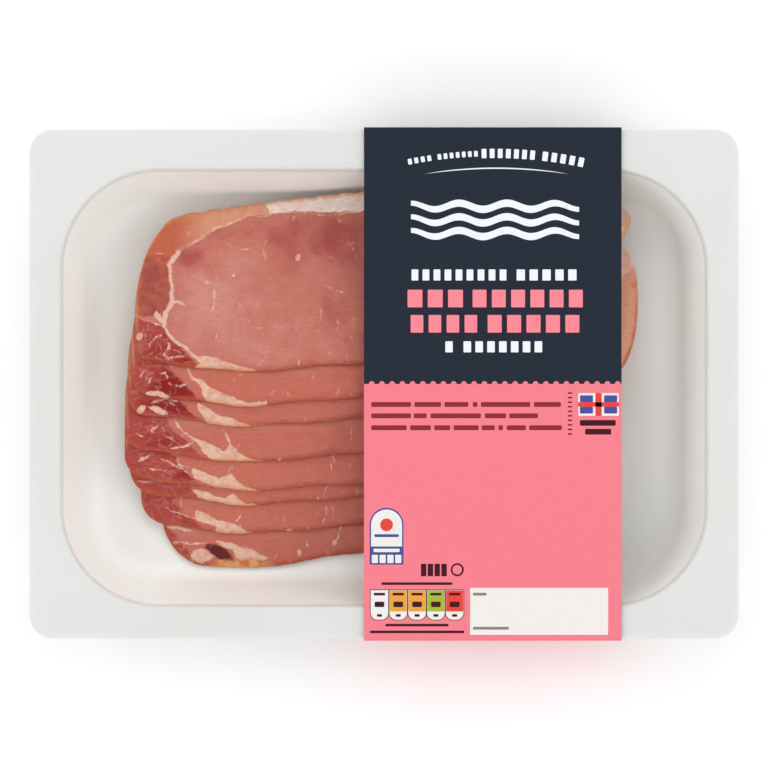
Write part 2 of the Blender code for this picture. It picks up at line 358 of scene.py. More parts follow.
def model_sleeve(print_face, board):
    """A band: its end outline with the folds rounded, drawn out along the rashers, hollowed
    by taking both ends off and given the thickness of card."""
    low = Vector(SLEEVE_LOW)
    high = Vector(SLEEVE_HIGH)
    half_top = (high.y - low.y) / 2.0
    half_base = SLEEVE_BASE_WIDTH / 2.0
    bend_z = high.z - SLEEVE_BEND_DROP
    corners = [
        (half_top, high.z), (half_top, bend_z), (half_base, low.z),
        (-half_base, low.z), (-half_top, bend_z), (-half_top, high.z),
    ]
    deselect_all()
    bpy.ops.mesh.primitive_circle_add(vertices=6, radius=0.1, fill_type="NGON")
    band = bpy.context.object
    for vertex, (y, z) in zip(band.data.vertices, corners):
        vertex.co = (low.x, y, z)
    for level, offset in ((high.z, 0.9 * MM), (bend_z, 2.0 * MM), (low.z, 1.2 * MM)):
        select_points(band, lambda co: abs(co.z - level) < 0.1 * MM)
        bpy.ops.mesh.bevel(affect="VERTICES", offset=offset, segments=5, profile=0.5)
        bpy.ops.object.mode_set(mode="OBJECT")
    bpy.ops.object.mode_set(mode="EDIT")
    bpy.ops.mesh.select_all(action="SELECT")
    bpy.ops.mesh.extrude_region_move(TRANSFORM_OT_translate={"value": (high.x - low.x, 0.0, 0.0)})
    bpy.ops.mesh.select_all(action="SELECT")
    bpy.ops.mesh.normals_make_consistent(inside=False)
    bpy.ops.mesh.select_mode(type="FACE")
    bpy.ops.mesh.select_all(action="DESELECT")
    bpy.ops.object.mode_set(mode="OBJECT")
    for face in band.data.polygons:
        face.select = abs(face.normal.x) > 0.9
    bpy.ops.object.mode_set(mode="EDIT")
    bpy.ops.mesh.delete(type="FACE")
    bpy.ops.object.mode_set(mode="OBJECT")
    card = band.modifiers.new("card", "SOLIDIFY")
    card.thickness = CARD
    card.offset = -1.0
    card.use_even_offset = True
    card.material_offset = 1
    card.material_offset_rim = 1
    band.data.materials.append(print_face)
    band.data.materials.append(board)
    apply_modifiers(band)
    bpy.ops.object.shade_smooth_by_angle(angle=math.radians(28.0))
    chosen = [face.material_index for face in band.data.polygons]
    finish_piece(band, "card_sleeve", [print_face, board], ["sleeve"])
    for face, index in zip(band.data.polygons, chosen):
        face.material_index = index
    return band


# ---------------------------------------------------------------- rashers laid in the tray

def ramp(distance):
    return (distance + np.sqrt(distance ** 2 + EDGE_BEND ** 2)) / 2.0


def corner_cut(distance, length, width, straight):
    left = 1.0 - np.clip(distance / length, 0.0, 1.0)
    if straight:
        return width * left
    return width * (1.0 - np.sqrt(1.0 - left ** 2))


def front_edge(index, x):
    front, left, right, rise, front_left, _, front_right, _ = RASHERS[index]
    edge = front + rise * ramp(x - EDGE_LOW_X) + LEFT_RISE * ramp(EDGE_LOW_X - x)
    edge = edge + WAVE * np.sin(2.0 * math.pi * x / WAVE_LENGTH + 1.7 * index)
    edge = edge + corner_cut(x - left, *front_left, False)
    return edge + corner_cut(right - x, *front_right, index == 0)


def back_edge(index, x):
    front, left, right, _, _, back_left, _, back_right = RASHERS[index]
    edge = front + BACK_HIGH_Y - BACK_FALL * np.abs(x - BACK_HIGH_X) ** 1.5
    edge = edge - corner_cut(x - left, *back_left, False)
    return edge - corner_cut(right - x, *back_right, False)


def tray_height(x, y):
    reach_x = np.abs(x) - (MOUTH_LENGTH / 2.0 - MOUTH_CORNER)
    reach_y = np.abs(y - MOUTH_SHIFT_Y) - (MOUTH_WIDTH / 2.0 - MOUTH_CORNER)
    outside = np.hypot(np.maximum(reach_x, 0.0), np.maximum(reach_y, 0.0))
    inside = np.minimum(np.maximum(reach_x, reach_y), 0.0)
    inset = MOUTH_CORNER - outside - inside
    steps = cavity_steps(2, 4)
    return np.interp(inset, [step[0] for step in steps], [step[1] for step in steps])


def settle(support, covered):
    """Lets a limp sheet sink until it lies on what is under it."""
    weight_x = 1.0 / CELL_X ** 2
    weight_y = 1.0 / CELL_Y ** 2
    total = 2.0 * (weight_x + weight_y)
    sag = np.where(covered, SAG_PER_METRE / total, 0.0)
    lowest = np.where(covered, support, 0.0)
    sheet = np.full(support.shape, lowest.max())
    for _ in range(SETTLE_STEPS):
        padded = np.pad(sheet, 1, mode="edge")
        beside = padded[2:, 1:-1] + padded[:-2, 1:-1]
        ahead = padded[1:-1, 2:] + padded[1:-1, :-2]
        sheet = np.maximum(lowest, (beside * weight_x + ahead * weight_y) / total - sag)
    return sheet


def widened(covered):
    padded = np.pad(covered, 1)
    near = padded[1:-1, 1:-1] | padded[2:, 1:-1] | padded[:-2, 1:-1]
    padded = np.pad(near, 1)
    return near | padded[1:-1, 2:] | padded[1:-1, :-2]


def settled_rashers():
    """Height of each rasher's underside over the grid, the bottom rasher laid first."""
    grid_x = np.arange(-GRID_HALF_X, GRID_HALF_X + CELL_X / 2.0, CELL_X)
    grid_y = np.arange(-GRID_HALF_Y, GRID_HALF_Y + CELL_Y / 2.0, CELL_Y)
    x, y = np.meshgrid(grid_x, grid_y, indexing="ij")
    support = tray_height(x, y) + REST_GAP
    sheets = {}
    for index in reversed(range(len(RASHERS))):
        left, right = RASHERS[index][1:3]
        covered = (x >= left * MM) & (x <= right * MM)
        covered &= (y >= front_edge(index, x / MM) * MM) & (y <= back_edge(index, x / MM) * MM)
        covered = widened(covered)
        sheets[index] = settle(support, covered)
        top = sheets[index] + LAID_THICKNESS + REST_GAP
        support = np.where(covered, np.maximum(support, top), support)
    return sheets


def spline_weights(share):
    return (
        (1.0 - share) ** 3 / 6.0,
        (3.0 * share ** 3 - 6.0 * share ** 2 + 4.0) / 6.0,
        (-3.0 * share ** 3 + 3.0 * share ** 2 + 3.0 * share + 1.0) / 6.0,
        share ** 3 / 6.0,
    )


def sheet_height(sheet, x, y):
    """Reads a settled sheet smoothly at many points, given in metres."""
    column = (x + GRID_HALF_X) / CELL_X
    row = (y + GRID_HALF_Y) / CELL_Y
    i = np.floor(column).astype(int)
    j = np.floor(row).astype(int)
    across = spline_weights(column - i)
    along = spline_weights(row - j)
    height = np.zeros_like(x)
    for a in range(4):
        for b in range(4):
            at_i = np.clip(i + a - 1, 0, sheet.shape[0] - 1)
            at_j = np.clip(j + b - 1, 0, sheet.shape[1] - 1)
            height += across[a] * along[b] * sheet[at_i, at_j]
    return height


# ---------------------------------------------------------------- marbling of the rashers

# Fat wedges by the front edges, as outlines in the plan, in millimetres
FAT_WEDGES = [
    [(-70, 12.5), (-66, 10), (-61, 9), (-57, 8), (-52.5, 6.5), (-48.5, 5.8), (-45.5, 5.6),
     (-45.5, 3), (-66.5, 3), (-66.5, 5.6), (-64.3, 7), (-65.7, 8.8)],
    [(-68, 3), (-62.5, -0.8), (-57.5, -3), (-52.5, -5.7), (-47, -7.3), (-42, -6.7),
     (-42, -9), (-58.5, -9), (-59, -7.5), (-62.5, -5.7), (-64.5, -3), (-65, -0.8)],
    [(-66, -7), (-61, -9.7), (-57, -11.4), (-51.5, -13.6), (-47, -14.8), (-42.5, -15),
     (-42.5, -17), (-54, -17), (-58.5, -14.7), (-62.5, -13.2), (-65, -10.5)],
    [(-68, -19), (-64, -20), (-59.5, -22.4), (-56.5, -23.7), (-54, -22), (-52.5, -23.7),
     (-49, -26.4), (-43, -27.7), (-43, -30), (-58.5, -29), (-62.5, -26.4), (-64.3, -22.4)],
    [(-68, -29.5), (-64, -31.7), (-58.5, -33.7), (-54, -32), (-53, -34), (-50, -36.5),
     (-44.5, -37.4), (-45, -40), (-52.5, -40), (-57.5, -37.4), (-62.5, -35.6), (-67, -33)],
    [(-68, -38), (-65, -38.3), (-59.5, -40), (-56, -41), (-54, -39.3), (-52.5, -41),
     (-49, -42.7), (-43.5, -43.6), (-43.5, -46), (-57.5, -45.5), (-59, -43), (-63, -41)],
    [(-66.5, -45), (-64, -46), (-59.5, -48.4), (-53, -50), (-49, -52.4), (-43.5, -53.3),
     (-43.5, -56), (-58.5, -55.5), (-59.7, -52.8), (-59.5, -51), (-63, -49.3), (-66.5, -48.4)],
    [(-60, -56), (-57.5, -56.3), (-52.5, -58), (-47, -59.4), (-41.5, -61.8), (-43.5, -63),
     (-49, -62.5), (-52.5, -61.2), (-53.3, -59.4), (-57, -58)],
]
# Threads of fat, as lines in the plan with their half width
VEINS = [
    [
        (0.35, [(-87.7, 24), (-84.5, 22.5), (-80, 21), (-77.5, 20)]),
        (0.35, [(-79, 17), (-82, 15), (-83.3, 12)]),
        (0.4, [(-78.4, 14.6), (-75.8, 14), (-75.8, 12), (-77.6, 10.2), (-75.8, 8.8), (-70, 9.7)]),
        (0.3, [(-75.3, 12), (-71.4, 10.6)]),
        (0.22, [(-59.7, 35), (-59.9, 26), (-64.3, 27)]),
        (0.12, [(-57.7, 21.6), (-59.9, 15.5), (-54.2, 14)]),
        (0.2, [(-47.6, 22.5), (-47.2, 20), (-42, 20.3)]),
        (0.12, [(-54.2, 48.5), (-48, 48), (-46.3, 49.4)]),
        (0.1, [(-29.5, 21.6), (-31, 17.2)]),
        (0.16, [(-30.4, 11), (-30, 6.2)]),
        (0.16, [(-20.7, 34.4), (-14.6, 32.2), (-12, 30.4)]),
        (0.12, [(-15, 36.6), (-14.6, 32.2)]),
        (0.22, [(-45, 6.6), (-42.8, 8.4), (-41, 10.2)]),
        (0.1, [(-13.2, 11), (-13.2, 6.6)]),
    ],
    [
        (0.35, [(-84.2, 5.8), (-86, 1.8)]),
        (1.1, [(-84, -3.6), (-80, -3), (-76, -4.6)]),
        (0.35, [(-79.8, 3.6), (-77.6, 4), (-76.4, 1.8)]),
        (0.3, [(-82, 3), (-83.3, -0.4)]),
        (0.3, [(-75.8, 0.3), (-73.4, -0.8), (-70, 0)]),
        (0.45, [(-67.5, 3), (-71, 6.6)]),
        (0.16, [(-53, 1.4), (-52.4, 0)]),
        (0.2, [(-12, -3), (-10.2, -4.4)]),
    ],
    [
        (0.35, [(-82, -6.6), (-77.6, -4.8), (-71, -6.6)]),
        (1.3, [(-83.5, -8.6), (-80, -9.6), (-76.5, -10.4)]),
        (0.3, [(-76.2, -6), (-74.5, -8)]),
        (0.16, [(-52.4, -11.5), (-51.8, -13.5)]),
    ],
    [
        (0.3, [(-77.6, -13.2), (-82.4, -17), (-81.3, -18)]),
        (0.3, [(-79.8, -17.6), (-75.8, -19), (-73, -21)]),
        (0.4, [(-75.3, -12), (-72, -15.5), (-67.9, -19)]),
        (0.25, [(-88, -17), (-84.6, -19)]),
        (0.35, [(-75.8, -22.6), (-71, -22.4), (-67.4, -20)]),
        (0.35, [(-54, -22.3), (-54.6, -20.2), (-56.4, -17), (-56.8, -15)]),
        (0.25, [(-52.4, -23.5), (-49.8, -20.7)]),
    ],
    [
        (0.35, [(-83.3, -24.6), (-87.2, -27.7)]),
        (0.4, [(-80.2, -26), (-74, -29), (-67.4, -32.6)]),
        (0.3, [(-84.6, -30), (-77.6, -30.4), (-75.3, -32.3)]),
        (0.35, [(-73, -26.4), (-72.3, -29), (-68, -29.5)]),
        (0.22, [(-19, -26.8), (-18.4, -31)]),
    ],
    [
        (0.35, [(-82.4, -34.8), (-75, -34), (-72.3, -36)]),
        (0.3, [(-87.7, -34), (-82.4, -35)]),
        (0.3, [(-18.4, -30), (-19.9, -36.5), (-21.6, -41)]),
    ],
    [
        (0.35, [(-79, -42.2), (-76.2, -45), (-71, -46.2), (-67, -48)]),
        (0.3, [(-83.3, -39.2), (-76.2, -40)]),
        (0.3, [(-52.4, -49), (-50.7, -46)]),
        (0.3, [(-20.3, -43.6), (-21.6, -48), (-22.5, -50.6)]),
    ],
    [
        (0.45, [(-75.3, -56), (-68.3, -57.2), (-63, -56.3)]),
        (0.6, [(-77.6, -50.6), (-67.4, -52.4)]),
        (0.3, [(-12.8, -46.2), (-15.4, -49.7), (-16, -55), (-17.2, -57.2)]),
        (0.3, [(-27.8, -55), (-26.5, -59.4)]),
    ],
]
# The seam between the eye and the back fat of a rasher, with its half width, measured from
# the first rasher
SEAM = [
    (0.25, [(-7, 61.3), (-21, 60.2), (-35, 61.3), (-48, 59.1), (-54.2, 57.7), (-63.4, 52.4)]),
    (0.35, [(-63.4, 52.4), (-72.5, 47.2)]),
    (0.8, [(-72.5, 47.2), (-76.1, 43)]),
    (0.6, [(-76.1, 43), (-75.4, 38.4), (-75, 33), (-74.6, 29.5)]),
    (1.0, [(-74.6, 29.5), (-76.8, 25.3), (-78, 20.4)]),
    (0.7, [(-74.6, 29.5), (-71, 28)]),
    (0.9, [(-80.5, 24.5), (-77.5, 21)]),
    (0.7, [(-78, 20.4), (-76, 17), (-72.5, 14), (-69, 12)]),
]
# Round spots of fat
SPOTS = [
    [(-86.5, 17, 1.0), (-62.4, 36, 0.4), (-53, 38.5, 0.5), (-30, 45, 0.5)],
    [],
    [(-85.8, -8.8, 1.1), (-43.5, -15.2, 0.8), (-18, -13.2, 0.4)],
    [(-37, -26.5, 0.4)],
    [],
    [(-86.5, -41, 0.8)],
    [(-33, -52, 0.5)],
    [(-30.3, -60.2, 0.8), (-22.5, -50.6, 0.8), (-17, -57, 0.6)],
]
# Deeper red patches: place, half lengths and strength. They are partly the lean's own deeper red and partly painted
# shade, chiefly along the back of the top rasher, where it slopes down away from the light
DEEP_RED_AND_SHADED_PATCHES = [
    (-69, 44.5, 6, 4.5, 0.8),
    (-33, 44, 12, 8, 0.2),
    (-20, 52, 16, 10, 0.75),
    (-52, 54, 14, 5, 0.4),
    (-14, 34, 8, 14, 0.3),
    (-21, 27, 3, 5, 0.4),
    (-11, 17, 9, 10, 0.25),
]
# Dark red parts of the streaky lobes: place, half lengths and strength
LOBE_PATCHES = [
    [(-80, 11, 6, 5, 0.6), (-71, 8, 5, 3, 0.5)],
    [(-72, 1.5, 6, 5, 2.0), (-78, -2, 6, 3, 1.0)],
    [(-74, -8, 8, 3.5, 1.3), (-66, -14, 4, 2, 0.5)],
    [(-75, -19, 6, 3, 0.35), (-84, -22, 6, 3, 0.3)],
    [(-70, -32, 5, 2, 0.5), (-84, -31, 5, 4, 0.3)],
    [(-70, -41, 6, 2.5, 0.5)],
    [(-70, -50, 5, 3, 0.4), (-62.5, -51.5, 3.5, 2.2, 0.8)],
    [(-66, -55, 6, 3, 0.4)],
]
# Paler patches: place, half lengths and strength. They are partly the lean's own paler colour and partly painted
# light on the centre-left of the top rasher
PALE_AND_LIT_PATCHES = [
    (-62, 31, 9, 11, 0.8),
    (-50, 42, 8, 6, 0.4),
    (-46, 14, 16, 8, 0.35),
]


def segment_distance(x, y, line):
    """Distance from many points to a line of straight pieces."""
    nearest = np.full(x.shape, 1000.0)
    for (x_a, y_a), (x_b, y_b) in zip(line, line[1:]):
        run_x = x_b - x_a
        run_y = y_b - y_a
        share = ((x - x_a) * run_x + (y - y_a) * run_y) / (run_x ** 2 + run_y ** 2)
        share = np.clip(share, 0.0, 1.0)
        nearest = np.minimum(nearest, np.hypot(x - x_a - share * run_x, y - y_a - share * run_y))
    return nearest


def thread_depth(x, y, half, line):
    """How deep points are inside a thread of fat that thins out toward both ends."""
    runs = [math.dist(first, second) for first, second in zip(line, line[1:])]
    depth = np.full(x.shape, -10.0)
    done = 0.0
    for (x_a, y_a), (x_b, y_b), run in zip(line, line[1:], runs):
        share = ((x - x_a) * (x_b - x_a) + (y - y_a) * (y_b - y_a)) / run ** 2
        share = np.clip(share, 0.0, 1.0)
        away = np.hypot(x - x_a - share * (x_b - x_a), y - y_a - share * (y_b - y_a))
        along = (done + share * run) / sum(runs)
        depth = np.maximum(depth, half * (1.0 - 0.8 * np.abs(2.0 * along - 1.0) ** 2.5) - away)
        done += run
    return depth


def wandering(x, y, index):
    """Small smooth shifts that make drawn outlines look grown."""
    noise.seed_set(4)
    shift_x = np.zeros(x.shape)
    shift_y = np.zeros(x.shape)
    for point in np.nonzero(x < 0.0)[0]:
        place = Vector((x[point] * 0.22, y[point] * 0.22, index * 5.3))
        coarse = noise.noise_vector(place)
        fine = noise.noise_vector(place * 4.0)
        shift_x[point] = coarse.x * 0.9 + fine.x * 0.35
        shift_y[point] = coarse.y * 0.9 + fine.y * 0.35
    return x + shift_x, y + shift_y


def inside_outline(x, y, outline):
    """Distance from many points to an outline, above zero inside it."""
    closed = outline + outline[:1]
    distance = segment_distance(x, y, closed)
    inside = np.zeros(x.shape, dtype=bool)
    for (x_a, y_a), (x_b, y_b) in zip(closed, closed[1:]):
        crosses = (y_a > y) != (y_b > y)
        if y_a != y_b:
            inside ^= crosses & (x < (x_b - x_a) * (y - y_a) / (y_b - y_a) + x_a)
    return np.where(inside, distance, -distance)


def hill(x, y, at_x, at_y, reach_x, reach_y):
    return np.exp(-((x - at_x) / reach_x) ** 2 - ((y - at_y) / reach_y) ** 2)


def marbling_fields(index, x, y, edge_distance):
    """The masks of one rasher, in millimetres and above zero inside, at points in millimetres."""
    drop = RASHERS[0][0] - RASHERS[index][0]
    x, y = wandering(x, y, index)
    fat = inside_outline(x, y, FAT_WEDGES[index])
    for at_x, at_y, radius in SPOTS[index]:
        fat = np.maximum(fat, radius - np.hypot(x - at_x, y - at_y))
    thread = np.full(x.shape, -10.0)
    for half, line in VEINS[index]:
        thread = np.maximum(thread, thread_depth(x, y, half, line))
    y_first = y + drop
    seam = np.full(x.shape, -10.0)
    for half, line in SEAM:
        seam = np.maximum(seam, half - segment_distance(x, y_first, line))
    if index > 0:
        seam = np.where(y_first < 24.0, -10.0, seam)
    thread = np.maximum(thread, seam)
    # The lobe of dark lean left of the fat wedge
    lobe_edge = np.interp(y_first, [0.0, 6.0, 10.0, 14.0, 20.0, 26.0], [-63, -65, -68.5, -72.5, -77, -95])
    lobe = lobe_edge - x
    # Back fat along the far edge, right of the smoked end
    back_line = np.interp(x, [-95.0, -76.0, -60.0, -44.0, -30.0, -7.0, 40.0, 80.0],
                          [46.0, 46.0, 54.8, 60.6, 61.4, 61.2, 60.0, 52.0])
    back = y_first - back_line
    # The smoked end: outside the seam at the far left, as far as a slanting edge
    soft_back = np.where(x < -74.0, (y_first - 43.0) * 0.09, back)
    smoke = np.minimum(soft_back, -41.0 - (y_first - 63.0) * 0.7 - x)
    left_of_seam = np.interp(y_first, [18.0, 21.0, 30.0, 38.0, 44.0, 50.0], [-78, -78.5, -75.5, -76, -77, -70])
    band = np.where(y_first > 24.0, left_of_seam - x, -5.0)
    # The tone holds the lean's own darker and paler patches, with painted shade on the sloping back of the top
    # rasher and painted light on its centre-left
    tone = np.zeros(x.shape)
    for at_x, at_y, reach_x, reach_y, strength in DEEP_RED_AND_SHADED_PATCHES:
        tone += strength * hill(x, y_first, at_x, at_y, reach_x, reach_y)
    for at_x, at_y, reach_x, reach_y, strength in PALE_AND_LIT_PATCHES:
        tone -= strength * hill(x, y_first, at_x, at_y, reach_x, reach_y)
    tone += 0.5 * np.clip((edge_distance[1] - 3.0) * -0.3, 0.0, 1.0)
    # The lowest rasher's dark end, pale patch and curled smoked rim
    blood = np.full(x.shape, -10.0)
    curl = np.full(x.shape, -10.0)
    if index == 7:
        turned_x = (x + 58.3) * 0.88 - (y + 60.0) * 0.47
        turned_y = (x + 58.3) * 0.47 + (y + 60.0) * 0.88
        blood = 2.3 * (1.0 - np.hypot(turned_x / 5.6, turned_y / 2.2))
        pale = 1.9 * (1.0 - np.hypot((x + 64.6) / 3.6, (y + 61.0) / 1.8))
        fat = np.maximum(fat, pale)
        curl = 2.0 * (1.0 - np.hypot((x + 50.5) / 13.0, (y + 65.4) / 3.8))
    # What shows past the sleeve's right edge
    if index == 0:
        fat = np.where(x > 78.0, y - 53.6, fat)
        curl = np.where(x > 78.0, 53.6 - y, curl)
    if index == 1:
        fat = np.where(x > 78.0, y - 37.5 - 0.9 * (x - 84.0), fat)
        smoke = np.where(x > 78.0, 1.0, smoke)
        curl = np.where(x > 78.0, 1.3 - np.hypot(x - 88.8, y - 35.0), curl)
    deep = np.zeros(x.shape)
    for at_x, at_y, reach_x, reach_y, strength in LOBE_PATCHES[index]:
        deep += strength * hill(x, y, at_x, at_y, reach_x, reach_y)
    strip = np.clip((20.0 - y_first) / 6.0, 0.0, 1.0) * (0.0 if index == 0 else 1.0)
    return {
        "strip": strip,
        "deep": deep,
        "blood": blood,
        "curl": curl,
        "fat": fat,
        "thread": thread,
        "lobe": lobe,
        "back": back,
        "smoke": smoke,
        "band": band,
        "tone": tone,
        "rim": edge_distance[0],
        "front": edge_distance[1],
    }


# ---------------------------------------------------------------- modelling a rasher

def eased_places(length, fine, coarse, fine_from, fine_to):
    """Places from 0 to length: close at both ends, fine between two places, coarse elsewhere."""
    ends = [0.0, 0.05, 0.15, 0.3, 0.5, 0.75, 1.05, 1.4]
    places = list(ends)
    while places[-1] < length - 1.4 - coarse * 0.6:
        here = places[-1]
        near = max(fine_from - here, here - fine_to, 0.0)
        step = min(coarse, fine + near * 0.35)
        places.append(here + step)
    middle = [1.4 + (place - 1.4) * (length - 2.8) / (places[-1] - 1.4) for place in places[7:]]
    return np.array(places[:7] + middle + [length - end for end in reversed(ends[:7])])


def model_rasher(index, sheet, material):
    """A grid laid on the settled sheet, its copy turned over below it, joined at the rim."""
    left, right = RASHERS[index][1:3]
    length = right - left
    fine = 0.45
    across = eased_places(length, fine, 4.0, 0.0, -6.0 - left)
    right_fine = eased_places(length, 0.6, 4.0, 0.0, 0.0)
    seen_right = 82.0 - left
    if length > seen_right:
        kept = across[across < seen_right - 1.0]
        steps = np.arange(seen_right, length - 1.4, 0.6)
        across = np.concatenate([kept, steps, right_fine[-8:]])
    width = 62.0
    rows_to = width if index == 0 else 17.0
    along = eased_places(width, 0.5 if index == 0 else 0.42, 4.0, 0.0, rows_to) / width
    deselect_all()
    bpy.ops.mesh.primitive_grid_add(
        x_subdivisions=len(across) - 1, y_subdivisions=len(along) - 1, size=2.0
    )
    top = bpy.context.object
    count = len(top.data.vertices)
    flat = np.empty(count * 3)
    top.data.vertices.foreach_get("co", flat)
    flat = flat.reshape(-1, 3)
    column = np.rint((flat[:, 0] + 1.0) / 2.0 * (len(across) - 1)).astype(int)
    row = np.rint((flat[:, 1] + 1.0) / 2.0 * (len(along) - 1)).astype(int)
    x = left + across[column]
    ripple = 0.07 * np.sin(x * 0.9 + 2.1 * index) + 0.04 * np.sin(x * 2.3 + 1.3 * index)
    low = front_edge(index, x) + ripple
    high = back_edge(index, x) + 0.2 * np.sin(x * 0.8 + index)
    y = low + (high - low) * along[row]
    slant = 1.0 / np.sqrt(1.0 + np.gradient(front_edge(index, left + across), across) ** 2)
    front_gap = (y - low) * np.clip(slant, 0.3, 1.0)[column]
    gap = np.minimum(np.minimum(front_gap, high - y), np.minimum(x - left, right - x))
    gap = np.maximum(gap, 0.0)
    share = np.clip(gap / 0.9, 0.0, 1.0)
    rise = np.sqrt(np.clip(1.0 - (1.0 - share) ** 2, 0.0, 1.0))
    ground = sheet_height(sheet, x * MM, y * MM) / MM
    relief = np.zeros(count)
    for point in range(count):
        place = Vector((x[point] * 0.16, y[point] * 0.16, index * 3.7))
        relief[point] = noise.noise(place) * 0.16 + noise.noise(place * 4.3) * 0.07
    fields = marbling_fields(index, x, y, (gap, front_gap))
    fat_ridge = np.clip(fields["fat"] + 0.5, 0.0, 1.0) * 0.12
    flat_share = np.clip(front_gap / 8.0, 0.0, 1.0)
    half = 0.55 + 0.95 * flat_share * (2.0 - flat_share)
    middle = ground - 0.15 + half
    for name, values in fields.items():
        layer = top.data.attributes.new(name, "FLOAT", "POINT")
        layer.data.foreach_set("value", values)
    pick(top)
    bpy.ops.object.duplicate()
    under = bpy.context.object
    upper_z = middle + half * rise + (relief + fat_ridge) * share
    under_z = middle - half * rise + relief * share * 0.5
    for part, z in ((top, upper_z), (under, under_z)):
        part.data.vertices.foreach_set("co", np.column_stack([x, y, z]).ravel() * MM)
        part.data.update()
    under.data.flip_normals()
    pick(top, under)
    bpy.ops.object.join()
    rasher = bpy.context.object
    bpy.ops.object.mode_set(mode="EDIT")
    bpy.ops.mesh.select_all(action="SELECT")
    bpy.ops.mesh.remove_doubles(threshold=0.000002)
    bpy.ops.mesh.normals_make_consistent(inside=False)
    bpy.ops.object.mode_set(mode="OBJECT")
    bpy.ops.object.shade_smooth()
    apply_place(rasher)
    name = f"rasher_{index + 1}"
    return finish_piece(rasher, f"bacon_{name}", [material], [name])


# ---------------------------------------------------------------- materials

def object_place(tree, scale=1000.0):
    """Object coordinates in millimetres."""
    coordinates = add_node(tree, "ShaderNodeTexCoord")
    node = add_node(tree, "ShaderNodeVectorMath", operation="SCALE")
    tree.links.new(coordinates.outputs["Object"], node.inputs[0])
    node.inputs["Scale"].default_value = scale
    return node.outputs[0]


def bump_into(tree, shader, height, distance, strength=1.0):
    bump = add_node(tree, "ShaderNodeBump", {"Strength": strength, "Distance": distance})
    tree.links.new(height, bump.inputs["Height"])
    tree.links.new(bump.outputs["Normal"], shader.inputs["Normal"])


def tray_plastic_material():
    material, tree, shader = new_tree("white_formed_plastic")
    place = object_place(tree)
    cloud = noise_texture(tree, place, 0.02, 3.0, 0.6)
    warm = smooth_step(tree, cloud, 0.3, 0.7)
    flange = mix_colour(tree, warm, linear(229, 230, 228), linear(226, 227, 224))
    # The cavity's colour, used below the flange, is paler than the flange's: painted light that offsets the shade
    # falling into the deep cavity of the same white plastic
    cavity = mix_colour(tree, warm, (0.97, 0.97, 0.93), (0.95, 0.95, 0.91))
    split = add_node(tree, "ShaderNodeSeparateXYZ", links={"Vector": place})
    depth = smooth_step(tree, split.outputs[2], TRAY_HIGH[2] * 1000.0 - 0.7, TRAY_HIGH[2] * 1000.0 - 3.5)
    colour = mix_colour(tree, depth, flange, cavity)
    tree.links.new(colour, shader.inputs["Base Color"])
    gloss = smooth_step(tree, noise_texture(tree, place, 0.09, 4.0, 0.6), 0.2, 0.8)
    roughness = math_node(tree, "MULTIPLY_ADD", gloss, 0.12, 0.36)
    tree.links.new(roughness, shader.inputs["Roughness"])
    shader.inputs["Specular IOR Level"].default_value = 0.35
    shader.inputs["Subsurface Weight"].default_value = 0.2
    shader.inputs["Subsurface Scale"].default_value = 0.003
    shader.inputs["Subsurface Radius"].default_value = (1.0, 1.0, 0.9)
    bump_into(tree, shader, noise_texture(tree, place, 0.06, 3.0, 0.5), 0.0004, 0.5)
    return material


def film_material():
    """Clear film: what is under it shows through, with a weak sheen that grows at the rim."""
    material, tree, shader = new_tree("clear_lid_film")
    place = object_place(tree)
    stretch = add_node(tree, "ShaderNodeMapping", {"Scale": (0.4, 1.0, 1.0)}, {"Vector": place})
    wave = noise_texture(tree, stretch.outputs[0], 0.035, 2.0, 0.4)
    bump = add_node(tree, "ShaderNodeBump", {"Strength": 0.25, "Distance": 0.001})
    tree.links.new(wave, bump.inputs["Height"])
    shader.inputs["Base Color"].default_value = (1.0, 1.0, 1.0, 1.0)
    shader.inputs["Roughness"].default_value = 0.08
    tree.links.new(bump.outputs["Normal"], shader.inputs["Normal"])
    clear = add_node(tree, "ShaderNodeBsdfTransparent", {"Color": (1.0, 1.0, 1.0, 1.0)})
    gloss = add_node(
        tree,
        "ShaderNodeBsdfAnisotropic",
        {"Color": (1.0, 1.0, 1.0, 1.0), "Roughness": 0.12},
        {"Normal": bump.outputs["Normal"]},
    )
    facing = add_node(tree, "ShaderNodeFresnel", {"IOR": 1.18})
    share = math_node(tree, "MULTIPLY", facing.outputs[0], 0.35, clamp=True)
    mix = add_node(tree, "ShaderNodeMixShader")
    tree.links.new(share, mix.inputs[0])
    tree.links.new(clear.outputs[0], mix.inputs[1])
    tree.links.new(gloss.outputs[0], mix.inputs[2])
    output = tree.nodes["Material Output"]
    tree.links.new(mix.outputs[0], output.inputs["Surface"])
    tree.nodes.remove(shader)
    return material


